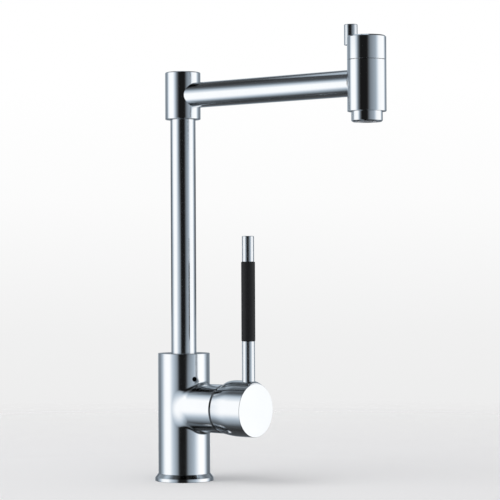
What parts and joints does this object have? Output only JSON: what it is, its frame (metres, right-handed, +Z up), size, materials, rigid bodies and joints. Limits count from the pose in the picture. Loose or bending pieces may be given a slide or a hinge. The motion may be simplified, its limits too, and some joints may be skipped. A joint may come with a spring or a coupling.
{
  "type": "kitchen mixer tap",
  "caption": "Single-lever kitchen mixer tap: upright body, side handle with a sleeved lever, and a swivelling tube spout whose head has its own turn-off cap and nozzle",
  "frame": {"origin": "centre of the base ring's underside, on the worktop, on the riser's axis", "axes": "+Z up along the riser; +X from the riser towards the handle and along the spout arm; +Y to the left as seen by someone facing along +X"},
  "size_m": [0.2295, 0.0486, 0.3663],
  "materials": {
    "chrome": "polished",
    "grip": "matt",
    "brass": "machined",
    "steel": "satin",
    "seal": "matt",
    "glide": "matt",
    "cartridge": "matt",
    "rotor": "matt",
    "disc": "lapped ceramic",
    "mesh": "satin"
  },
  "bodies": {
    "base": {"body": "chrome", "base_ring": "chrome", "base_seal": "seal", "keeper_screw": "steel", "glide_bush": "glide", "glide_washer": "glide", "cartridge_base": "cartridge", "cartridge_housing": "cartridge", "cartridge_nut": "brass", "port_seals": "seal", "fixed_disc": "disc"},
    "spout": {"spigot": "brass", "spigot_seals": "seal", "riser_tube": "chrome", "knuckle": "chrome", "arm_tube": "chrome", "head_body": "chrome", "bonnet": "brass", "valve_seat": "disc", "seat_seal": "seal", "nozzle_shell": "chrome", "aerator": "mesh", "nozzle_washer": "seal"},
    "rotor": {"rotor": "rotor", "pivot_pin": "steel"},
    "handle": {"stem": "steel", "handle_cap": "chrome", "handle_screw": "steel", "lever_rod": "chrome", "lever_grip": "grip", "lever_tip": "chrome"},
    "flow_disc": {"sliding_disc": "disc", "disc_carrier": "rotor"},
    "head_valve": {"head_cap": "chrome", "head_pin": "chrome", "pin_dowel": "steel", "cap_screw": "steel", "spindle": "brass", "spindle_seal": "seal", "valve_disc": "disc"}
  },
  "joints": [
    {"name": "spout_swivel", "type": "hinge", "parent": "base", "child": "spout", "pos_m": [0, 0, 0.09], "axis": [0, 0, 1], "continuous": true},
    {"name": "temperature", "type": "hinge", "parent": "base", "child": "rotor", "pos_m": [0.03, 0, 0.0609], "axis": [1, 0, 0], "range_deg": [-45, 45]},
    {"name": "flow", "type": "hinge", "parent": "rotor", "child": "handle", "pos_m": [0.03, 0, 0.0609], "axis": [0, 1, 0], "range_deg": [0, 20]},
    {"name": "disc_slide", "type": "slide", "parent": "rotor", "child": "flow_disc", "axis": [0, 0, 1], "range_m": [0, 0.0033]},
    {"name": "head_turn", "type": "hinge", "parent": "spout", "child": "head_valve", "pos_m": [0.19, 0, 0.345], "axis": [0, 0, 1], "range_deg": [0, 90]}
  ],
  "couplings": [
    {"joint": "disc_slide", "follows": "flow", "m_per_rad": 0.0094}
  ]
}
